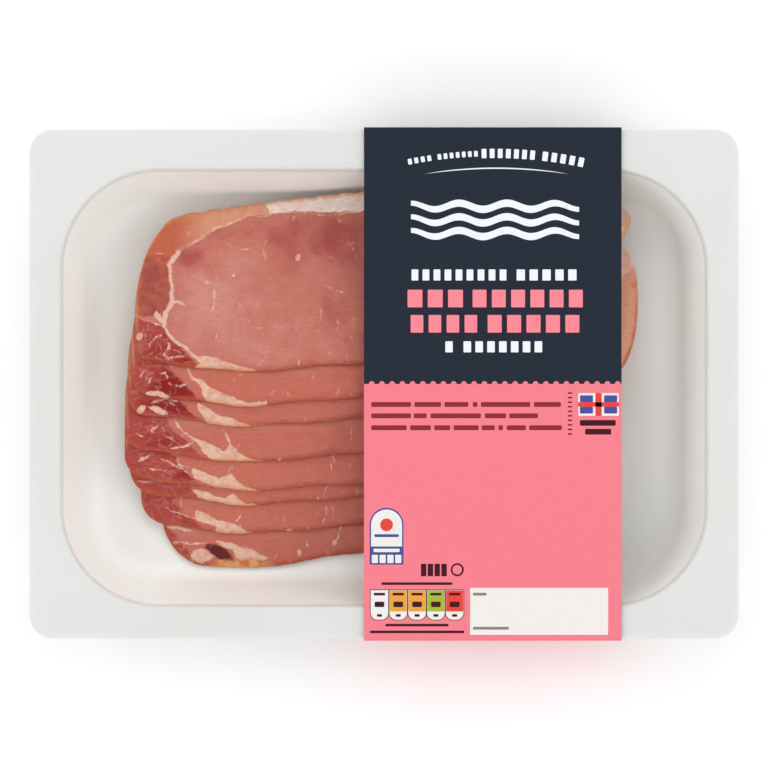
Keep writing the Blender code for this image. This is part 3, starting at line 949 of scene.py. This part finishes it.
def card_print_material():
    """Navy above and pink below, with a scalloped line between them."""
    material, tree, shader = new_tree("printed_card")
    place = object_place(tree)
    split = add_node(tree, "ShaderNodeSeparateXYZ", links={"Vector": place})
    x = split.outputs[0]
    y = split.outputs[1]
    from_bump = math_node(tree, "PINGPONG", math_node(tree, "ADD", x, 4.35 + 36.1), 1.805)
    square = math_node(tree, "MULTIPLY", from_bump, from_bump)
    left_over = math_node(tree, "MAXIMUM", math_node(tree, "SUBTRACT", 1.0 ** 2, square), 0.0)
    arch = math_node(tree, "SQRT", left_over)
    above = math_node(tree, "SUBTRACT", y, arch)
    navy_share = smooth_step(tree, above, -0.12, 0.12)
    fibre = noise_texture(tree, place, 1.2, 4.0, 0.6)
    shade = math_node(tree, "MULTIPLY_ADD", fibre, 0.06, 0.97)
    pink = mix_colour(tree, smooth_step(tree, fibre, 0.3, 0.7), linear(244, 128, 141), linear(246, 131, 144))
    navy = mix_colour(tree, smooth_step(tree, fibre, 0.3, 0.7), linear(35, 43, 54), linear(38, 46, 58))
    colour = mix_colour(tree, navy_share, pink, navy)
    tree.links.new(colour, shader.inputs["Base Color"])
    tree.links.new(math_node(tree, "MULTIPLY", shade, 0.55), shader.inputs["Roughness"])
    shader.inputs["Specular IOR Level"].default_value = 0.06
    bump_into(tree, shader, fibre, 0.00002, 0.4)
    return material


def board_material():
    material, tree, shader = new_tree("raw_card")
    place = object_place(tree)
    fibre = noise_texture(tree, place, 0.8, 5.0, 0.65)
    colour = mix_colour(tree, smooth_step(tree, fibre, 0.3, 0.7), linear(226, 221, 210), linear(214, 208, 195))
    tree.links.new(colour, shader.inputs["Base Color"])
    shader.inputs["Roughness"].default_value = 0.8
    shader.inputs["Specular IOR Level"].default_value = 0.2
    bump_into(tree, shader, fibre, 0.00003, 0.5)
    return material


def ink_material(name, colour):
    material, tree, shader = new_tree(name)
    place = object_place(tree)
    fibre = smooth_step(tree, noise_texture(tree, place, 1.2, 4.0, 0.6), 0.3, 0.7)
    paler = tuple(min(channel * 1.04 + 0.003, 1.0) for channel in colour)
    tree.links.new(mix_colour(tree, fibre, colour, paler), shader.inputs["Base Color"])
    tree.links.new(math_node(tree, "MULTIPLY_ADD", fibre, 0.04, 0.5), shader.inputs["Roughness"])
    shader.inputs["Specular IOR Level"].default_value = 0.06
    return material


def attribute(tree, name):
    return add_node(tree, "ShaderNodeAttribute", attribute_name=name).outputs["Fac"]


def bacon_material():
    material, tree, shader = new_tree("back_bacon")
    place = object_place(tree)
    fine = noise_texture(tree, place, 0.9, 3.0, 0.55)
    medium = noise_texture(tree, place, 0.32, 3.0, 0.55)
    broad = noise_texture(tree, place, 0.085, 2.0, 0.5)
    fine_push = math_node(tree, "SUBTRACT", fine, 0.5)
    medium_push = math_node(tree, "SUBTRACT", medium, 0.5)
    broad_push = math_node(tree, "SUBTRACT", broad, 0.5)

    # Lean of the eye, from pale salmon to deep red. The pale is partly painted light on the centre-left of the top
    # rasher, and the deep red is partly painted shade on its back, which slopes away from the light
    tone = math_node(tree, "MULTIPLY_ADD", broad_push, 1.3, attribute(tree, "tone"))
    tone = math_node(tree, "MULTIPLY_ADD", medium_push, 0.45, tone)
    pale_and_lit_share = smooth_step(tree, tone, 0.15, -0.75)
    deep_and_shaded_share = smooth_step(tree, tone, 0.1, 0.95)
    eye = mix_colour(tree, pale_and_lit_share, linear(201, 118, 103), linear(212, 142, 127))
    strip_share = smooth_step(tree, attribute(tree, "strip"), 0.0, 1.0)
    eye = mix_colour(tree, strip_share, eye, linear(202, 112, 95))
    eye = mix_colour(tree, deep_and_shaded_share, eye, linear(172, 76, 75))

    # Streaky lobe of dark lean
    lobe = math_node(tree, "MULTIPLY_ADD", medium_push, 4.0, attribute(tree, "lobe"))
    lobe_share = smooth_step(tree, lobe, -0.6, 1.2)
    deep = math_node(tree, "MULTIPLY_ADD", medium_push, 1.1, attribute(tree, "deep"))
    deep = math_node(tree, "MULTIPLY_ADD", broad_push, 1.2, deep)
    dark = mix_colour(tree, smooth_step(tree, deep, 0.0, 0.55), linear(174, 70, 63), linear(158, 44, 39))
    dark = mix_colour(tree, smooth_step(tree, deep, 0.4, 0.9), dark, linear(142, 26, 26))
    colour = mix_colour(tree, lobe_share, eye, dark)

    # Red band and smoked end outside the seam
    band = math_node(tree, "MULTIPLY_ADD", medium_push, 1.5, attribute(tree, "band"))
    band_share = smooth_step(tree, band, -0.3, 0.5)
    band_lean = mix_colour(tree, smooth_step(tree, medium, 0.4, 0.6), linear(163, 75, 66), linear(182, 92, 74))
    colour = mix_colour(tree, band_share, colour, band_lean)
    back = math_node(tree, "MULTIPLY_ADD", medium_push, 0.8, attribute(tree, "back"))
    back_share = smooth_step(tree, back, -0.15, 0.25)
    back_fat = mix_colour(tree, smooth_step(tree, medium, 0.4, 0.62), linear(242, 222, 211), linear(235, 208, 195))
    colour = mix_colour(tree, back_share, colour, back_fat)
    smoke = math_node(tree, "MULTIPLY_ADD", medium_push, 0.8, attribute(tree, "smoke"))
    smoke_share = smooth_step(tree, smoke, -0.15, 0.35)
    split = add_node(tree, "ShaderNodeSeparateXYZ", links={"Vector": place})
    smoke_end = smooth_step(tree, split.outputs[0], -76.0, -60.0)
    smoke_colour = mix_colour(tree, smoke_end, linear(198, 101, 71), linear(222, 154, 124))
    colour = mix_colour(tree, smoke_share, colour, smoke_colour)

    # Pale streaks in the dark lobe
    streak_place = add_node(
        tree, "ShaderNodeMapping", {"Scale": (1.0, 1.5, 1.0), "Rotation": (0.0, 0.0, 0.6)}, {"Vector": place}
    )
    streak = noise_texture(tree, streak_place.outputs[0], 0.1, 2.0, 0.5, 1.6)
    streak = math_node(tree, "ABSOLUTE", math_node(tree, "SUBTRACT", streak, 0.5))
    streak_share = math_node(tree, "MULTIPLY", smooth_step(tree, streak, 0.035, 0.0), lobe_share)
    streak_share = math_node(tree, "MULTIPLY", streak_share, 0.35)
    colour = mix_colour(tree, streak_share, colour, linear(214, 146, 130))

    # Smoked margin: brown along the front edges, tan round the ends
    front = attribute(tree, "front")
    rim = math_node(tree, "MULTIPLY_ADD", medium_push, -2.2, attribute(tree, "rim"))
    rim_share = math_node(tree, "MULTIPLY", smooth_step(tree, rim, 2.2, 0.0), 0.8)
    rim_colour = mix_colour(tree, smooth_step(tree, front, 1.5, 4.0), linear(188, 88, 60), linear(210, 142, 98))
    colour = mix_colour(tree, rim_share, colour, rim_colour)

    # Fat wedges and threads
    fat_edge = math_node(tree, "ADD", attribute(tree, "fat"), 0.3)
    fat_edge = math_node(tree, "MULTIPLY_ADD", medium_push, 1.6, fat_edge)
    fat_edge = math_node(tree, "MULTIPLY_ADD", fine_push, 0.5, fat_edge)
    fat_share = smooth_step(tree, fat_edge, -0.2, 0.25)
    fat_colour = mix_colour(tree, smooth_step(tree, medium, 0.42, 0.7), linear(234, 192, 170), linear(221, 163, 143))
    fat_low = math_node(tree, "MULTIPLY", smooth_step(tree, front, 1.6, 0.2), 0.75)
    fat_colour = mix_colour(tree, fat_low, fat_colour, linear(222, 156, 98))
    colour = mix_colour(tree, fat_share, colour, fat_colour)
    thread = math_node(tree, "MULTIPLY_ADD", medium_push, 1.3, attribute(tree, "thread"))
    thread = math_node(tree, "MULTIPLY_ADD", fine_push, 0.9, thread)
    thread_share = math_node(tree, "MULTIPLY", smooth_step(tree, thread, -0.2, 0.38), 0.92)
    colour = mix_colour(tree, thread_share, colour, linear(233, 192, 174))
    curl_share = smooth_step(tree, attribute(tree, "curl"), -0.2, 0.6)
    curl_colour = mix_colour(tree, smooth_step(tree, medium, 0.4, 0.6), linear(207, 118, 66), linear(228, 166, 112))
    colour = mix_colour(tree, curl_share, colour, curl_colour)
    blood = math_node(tree, "MULTIPLY_ADD", medium_push, 2.0, attribute(tree, "blood"))
    colour = mix_colour(tree, smooth_step(tree, blood, -0.1, 0.7), colour, linear(104, 30, 28))

    # Short pale ticks in the eye
    tick_place = add_node(tree, "ShaderNodeMapping", {"Scale": (1.0, 0.35, 1.0)}, {"Vector": place})
    tick = noise_texture(tree, tick_place.outputs[0], 0.42, 2.0, 0.5, 0.6)
    tick_share = math_node(tree, "MULTIPLY", smooth_step(tree, tick, 0.66, 0.74), 0.5)
    colour = mix_colour(tree, tick_share, colour, linear(226, 168, 150))

    # Fibre mottle over everything
    grain = add_node(tree, "ShaderNodeMapping", {"Scale": (0.5, 1.6, 1.0)}, {"Vector": place})
    fibre = noise_texture(tree, grain.outputs[0], 0.9, 4.0, 0.65, 0.4)
    mottle = mix_colour(tree, smooth_step(tree, fibre, 0.25, 0.75), (0.86, 0.84, 0.83), (1.1, 1.12, 1.13))
    colour = mix_colour(tree, 0.8, colour, mottle, "MULTIPLY")
    tree.links.new(colour, shader.inputs["Base Color"])

    gloss = math_node(tree, "MULTIPLY_ADD", medium, 0.25, 0.3)
    tree.links.new(gloss, shader.inputs["Roughness"])
    shader.inputs["Specular IOR Level"].default_value = 0.14
    shader.inputs["Subsurface Weight"].default_value = 0.12
    shader.inputs["Subsurface Scale"].default_value = 0.0015
    height = math_node(tree, "MULTIPLY_ADD", fibre, 0.5, math_node(tree, "MULTIPLY", fat_share, 0.3))
    bump_into(tree, shader, height, 0.0002, 0.5)
    return material


# ---------------------------------------------------------------- print on the sleeve

CARD_TOP = SLEEVE_HIGH[2]
LAYER = 0.02 * MM


def block(length, width, corner, layer):
    """A thin slab with round corners, lying on the card at the middle of the pack."""
    slab = rounded_plate(length * MM, width * MM, corner * MM, 0.0, CARD_TOP - LAYER, 3)
    rise = LAYER * (layer + 1)
    bpy.ops.mesh.extrude_region_move(TRANSFORM_OT_translate={"value": (0.0, 0.0, rise)})
    bpy.ops.mesh.select_all(action="SELECT")
    bpy.ops.mesh.normals_make_consistent(inside=False)
    bpy.ops.object.mode_set(mode="OBJECT")
    return slab


def place_copy(template, at_x, at_y, length=None, width=None, turn=0.0, template_size=(1.0, 1.0)):
    """A copy of a slab, its halves drawn apart to a new length and width, turned and placed."""
    copy = template.copy()
    copy.data = template.data.copy()
    bpy.context.collection.objects.link(copy)
    grow_x = ((length or template_size[0]) - template_size[0]) * MM / 2.0
    grow_y = ((width or template_size[1]) - template_size[1]) * MM / 2.0
    for vertex in copy.data.vertices:
        x = vertex.co.x + math.copysign(grow_x, vertex.co.x)
        y = vertex.co.y + math.copysign(grow_y, vertex.co.y)
        vertex.co.x = x * math.cos(turn) - y * math.sin(turn) + at_x * MM
        vertex.co.y = x * math.sin(turn) + y * math.cos(turn) + at_y * MM
    return copy


def join_print(parts, name, material):
    for part in parts:
        part.data.name = name
    pick(*parts)
    bpy.ops.object.join()
    joined = bpy.context.object
    return finish_piece(joined, name, [material])


def bars(places, height, corner, layer=1):
    """Bars given by their left end, right end and middle line."""
    template = block(1.0, height, corner, layer)
    parts = []
    for left, right, middle in places:
        parts.append(
            place_copy(
                template, (left + right) / 2.0, middle, right - left, height, 0.0, (1.0, height)
            )
        )
    bpy.data.objects.remove(template)
    return parts


def letter_blocks(left, right, middle, height, count, gap=0.35, layer=1):
    """A word as a row of plain blocks."""
    step = (right - left + gap) / count
    places = [(left + step * n, left + step * (n + 1) - gap, middle) for n in range(count)]
    return bars(places, height, 0.25, layer)


def arch(length, width, corner, top_side, layer):
    """A slab with only its two far or two near corners round."""
    deselect_all()
    bpy.ops.mesh.primitive_plane_add(size=1.0, location=(0.0, 0.0, CARD_TOP - LAYER))
    slab = bpy.context.object
    slab.scale = (length * MM, width * MM, 1.0)
    apply_place(slab)
    bpy.ops.object.mode_set(mode="EDIT")
    bpy.ops.mesh.select_mode(type="VERT")
    bpy.ops.mesh.select_all(action="DESELECT")
    bpy.ops.object.mode_set(mode="OBJECT")
    for vertex in slab.data.vertices:
        vertex.select = (vertex.co.y > 0.0) == top_side
    bpy.ops.object.mode_set(mode="EDIT")
    bpy.ops.mesh.bevel(affect="VERTICES", offset=corner * MM, segments=10, profile=0.5)
    bpy.ops.mesh.select_all(action="SELECT")
    rise = LAYER * (layer + 1)
    bpy.ops.mesh.extrude_region_move(TRANSFORM_OT_translate={"value": (0.0, 0.0, rise)})
    bpy.ops.mesh.select_all(action="SELECT")
    bpy.ops.mesh.normals_make_consistent(inside=False)
    bpy.ops.object.mode_set(mode="OBJECT")
    return slab


def curved_strip(left, right, middle, thickness, path, taper, layer=1):
    """A long strip that follows a path, its ends tapered by a share of its thickness."""
    deselect_all()
    bpy.ops.mesh.primitive_grid_add(x_subdivisions=64, y_subdivisions=1, size=2.0)
    strip = bpy.context.object
    for vertex in strip.data.vertices:
        share = vertex.co.x
        x = (left + right) / 2.0 + share * (right - left) / 2.0
        half = thickness / 2.0 * (1.0 - taper * abs(share) ** 3)
        vertex.co = (x * MM, (middle + path(share) + vertex.co.y * half) * MM, CARD_TOP - LAYER)
    bpy.ops.object.mode_set(mode="EDIT")
    bpy.ops.mesh.select_all(action="SELECT")
    rise = LAYER * (layer + 1)
    bpy.ops.mesh.extrude_region_move(TRANSFORM_OT_translate={"value": (0.0, 0.0, rise)})
    bpy.ops.mesh.select_all(action="SELECT")
    bpy.ops.mesh.normals_make_consistent(inside=False)
    bpy.ops.object.mode_set(mode="OBJECT")
    return strip


def move_to(obj, at_x, at_y):
    obj.location = (at_x * MM, at_y * MM, 0.0)
    apply_place(obj)
    return obj


def print_sleeve():
    """The print: plain blocks, bars and simple shapes on the sleeve's top panel."""
    white = ink_material("ink_white", linear(238, 241, 246))
    pink = ink_material("ink_pink", linear(253, 135, 150))
    maroon = ink_material("ink_maroon", linear(140, 45, 56))
    dark = ink_material("ink_dark", linear(66, 24, 38))
    blue = ink_material("ink_blue", linear(74, 81, 151))
    red = ink_material("ink_red", linear(230, 70, 60))
    amber = ink_material("ink_amber", linear(233, 160, 65))
    green = ink_material("ink_green", linear(163, 182, 60))
    paper = ink_material("ink_paper", linear(236, 233, 229))
    grey = ink_material("ink_grey", linear(140, 130, 125))

    # White: an arc of blocks, a swoosh, three waves and two rows of blocks
    whites = []
    template = block(1.0, 1.0, 0.25, 1)
    arc_radius = 153.7
    arc_middle = (38.8, 81.2 - arc_radius)
    places = [(-31.0, 4, 2.3, 2.0), (-20.4, 7, 2.15, 2.0), (-5.0, 7, 2.85, 3.3), (16.4, 5, 3.2, 3.3)]
    for start, count, pitch, height in places:
        for step in range(count):
            run = start + pitch * (step + 0.5)
            turn = -run / arc_radius
            at_x = arc_middle[0] + arc_radius * math.sin(-turn)
            at_y = arc_middle[1] + arc_radius * math.cos(turn)
            whites.append(place_copy(template, at_x, at_y, pitch * 0.6, height, turn))
    bpy.data.objects.remove(template)
    whites.append(curved_strip(14.3, 64.8, 74.0, 0.45, lambda share: 2.0 * (1.0 - share ** 2), 1.0))
    for middle in (62.6, 57.8, 53.0):
        whites.append(
            curved_strip(
                9.5, 68.7, middle, 2.6, lambda share: 1.1 * math.sin(share * 3.5 * math.pi), 0.35
            )
        )
    whites += letter_blocks(9.7, 43.1, 38.4, 3.9, 9, 1.5)
    whites += letter_blocks(46.7, 67.8, 38.4, 3.9, 5, 1.6)
    whites += letter_blocks(21.6, 24.2, 13.1, 3.9, 1)
    whites += letter_blocks(28.0, 55.7, 13.1, 3.9, 7, 1.5)
    join_print(whites, "print_white", white)

    pinks = letter_blocks(8.3, 27.8, 30.1, 6.2, 3, 1.9)
    pinks += letter_blocks(31.2, 70.0, 30.1, 6.2, 6, 1.9)
    pinks += letter_blocks(9.4, 32.8, 21.2, 6.2, 4, 1.9)
    pinks += letter_blocks(36.5, 68.8, 21.2, 6.2, 5, 1.9)
    join_print(pinks, "print_pink", pink)

    # Small text as word bars
    rows = [
        (-7.2, [(-4.5, 9.5), (10.7, 20.1), (21.3, 29.7), (31.3, 32.9), (34.1, 51.5), (52.8, 62.3)]),
        (-11.2, [(-4.5, 9.5), (10.5, 15.0), (16.4, 34.1), (35.5, 43.0), (44.1, 54.2)]),
        (-15.4, [(-4.5, 8.0), (9.2, 16.5), (17.7, 23.3), (24.5, 33.3), (34.4, 39.0), (40.3, 41.9),
                 (43.2, 50.0), (51.1, 62.6)]),
    ]
    words = [(left, right, middle) for middle, row in rows for left, right in row]
    join_print(bars(words, 1.7, 0.4), "print_words", maroon)

    darks = bars([(69.0, 81.6, -13.7), (70.8, 80.0, -16.8)], 2.0, 0.4)
    darks += letter_blocks(13.0, 22.1, -65.5, 4.4, 4, 0.5)
    small = [(-0.9, 24.1, -70.3), (0.5, 22.7, -84.9), (-4.9, 28.2, -87.3)]
    darks += bars(small, 0.9, 0.3)
    dots = [(65.25, 65.75, -3.2 - 1.6 * step) for step in range(10)]
    darks += bars(dots, 0.5, 0.2)
    for step in range(5):
        darks.append(move_to(arch(6.7, 10.9, 2.6, False, 1), -1.6 + 6.62 * step, -77.8))
    cell_bars = [(-3.6 + 6.62 * step, 0.4 + 6.62 * step) for step in range(5)]
    darks += bars([(left, right, -74.0) for left, right in cell_bars], 0.9, 0.3, 4)
    darks += bars([(left + 0.3, right - 0.3, -77.6) for left, right in cell_bars], 1.9, 0.4, 4)
    darks += bars([(left + 1.1, right - 1.1, -81.5) for left, right in cell_bars], 0.9, 0.3, 4)
    join_print(darks, "print_dark", dark)

    # White box, cells' white ground, tile and badge grounds
    papers = [move_to(block(48.6, 16.5, 0.3, 1), 54.6, -80.05)]
    for step in range(5):
        papers.append(move_to(arch(6.2, 10.4, 2.4, False, 2), -1.6 + 6.62 * step, -77.8))
    papers.append(move_to(block(14.3, 8.0, 0.2, 1), 75.55, -7.2))
    papers.append(move_to(arch(10.9, 13.0, 5.4, True, 2), 0.9, -50.7))
    papers += bars([(-3.7, 5.5, -58.6)], 1.2, 0.3, 2)
    papers += letter_blocks(-4.3, 6.1, -61.6, 2.9, 4, 0.6, 2)
    join_print(papers, "print_paper", paper)

    blues = [move_to(arch(11.9, 20.0, 5.9, True, 1), 0.9, -53.6)]
    for at_x, at_y in ((71.3, -5.2), (79.8, -5.2), (71.3, -9.2), (79.8, -9.2)):
        blues.append(move_to(block(4.6, 2.4, 0.3, 2), at_x, at_y))
    blues += bars([(-3.4, 5.2, -53.4)], 1.0, 0.3, 3)
    join_print(blues, "print_blue", blue)

    reds = [move_to(block(14.3, 1.6, 0.1, 3), 75.55, -7.2), move_to(block(2.2, 8.0, 0.1, 3), 75.55, -7.2)]
    reds.append(move_to(block(4.6, 4.6, 2.29, 3), 0.9, -49.6))
    reds.append(move_to(block(6.0, 7.4, 0.2, 3), -1.6 + 6.62 * 4, -76.4))
    join_print(reds, "print_red", red)

    ambers = [move_to(block(6.0, 7.4, 0.2, 3), -1.6 + 6.62 * step, -76.4) for step in (1, 2)]
    join_print(ambers, "print_amber", amber)
    greens = [move_to(block(6.0, 7.4, 0.2, 3), -1.6 + 6.62 * 3, -76.4)]
    join_print(greens, "print_green", green)
    join_print(bars([(31.3, 36.1, -74.0), (31.3, 44.0, -86.0)], 1.0, 0.3, 2), "print_grey", grey)

    deselect_all()
    bpy.ops.mesh.primitive_torus_add(
        location=(25.8 * MM, -65.4 * MM, CARD_TOP), major_radius=2.0 * MM, minor_radius=0.32 * MM,
        major_segments=40, minor_segments=8,
    )
    ring = bpy.context.object
    ring.scale = (1.0, 1.0, 0.12)
    apply_place(ring)
    bpy.ops.object.shade_smooth()
    finish_piece(ring, "print_ring", [dark])


# ---------------------------------------------------------------- stage, light and camera

def build_stage():
    scene = bpy.context.scene
    scene.view_settings.view_transform = "Standard"
    floor_material, tree, shader = new_tree("pale_floor")
    shader.inputs["Base Color"].default_value = (0.98, 0.98, 0.98, 1.0)
    shader.inputs["Roughness"].default_value = 0.9
    deselect_all()
    bpy.ops.mesh.primitive_plane_add(size=6.0, location=(0.0, 0.0, 0.0))
    floor = bpy.context.object
    floor.name = "floor"
    floor.data.materials.append(floor_material)

    world = bpy.data.worlds.new("studio")
    scene.world = world
    world.use_nodes = True
    tree = world.node_tree
    background = tree.nodes["Background"]
    background.inputs["Color"].default_value = (1.0, 1.0, 1.0, 1.0)
    path = add_node(tree, "ShaderNodeLightPath")
    seen = math_node(tree, "ADD", path.outputs["Is Camera Ray"], path.outputs["Is Glossy Ray"])
    seen = math_node(tree, "ADD", seen, path.outputs["Is Transmission Ray"], clamp=True)
    strength = math_node(tree, "MULTIPLY_ADD", seen, 1.0 - AMBIENT, AMBIENT)
    tree.links.new(strength, background.inputs["Strength"])

    for place, size, power in LAMPS:
        light = bpy.data.lights.new("softbox", "AREA")
        light.shape = "SQUARE"
        light.size = size
        light.energy = power
        lamp = bpy.data.objects.new("softbox", light)
        bpy.context.collection.objects.link(lamp)
        lamp.location = place
        lamp.rotation_euler = (-Vector(place)).to_track_quat("-Z", "Y").to_euler()
        lamp.visible_camera = False

    camera_data = bpy.data.cameras.new("camera")
    camera_data.lens = 300.0
    camera_data.sensor_width = 36.0
    camera_data.clip_start = 0.05
    camera_data.clip_end = 20.0
    camera = bpy.data.objects.new("camera", camera_data)
    bpy.context.collection.objects.link(camera)
    camera.location = (0.0, 0.0, TRAY_HIGH[2] + 2.255)
    scene.camera = camera


AMBIENT = 0.69
LAMPS = [
    ((-1.25, 0.2, 0.85), 0.9, 5.8),
    ((1.25, 0.2, 0.85), 0.9, 5.8),
    ((0.0, -1.2, 0.9), 0.9, 4.4),
    ((0.0, 1.2, 0.9), 0.9, 4.6),
]

model_tray(tray_plastic_material())
for film in [obj for obj in bpy.data.objects if obj.name.startswith("lid_film")]:
    for place in film.material_slots:
        place.material = film_material()
model_sleeve(card_print_material(), board_material())
print_sleeve()
bacon = bacon_material()
sheets = settled_rashers()
for number in range(len(RASHERS)):
    model_rasher(number, sheets[number], bacon)
build_stage()
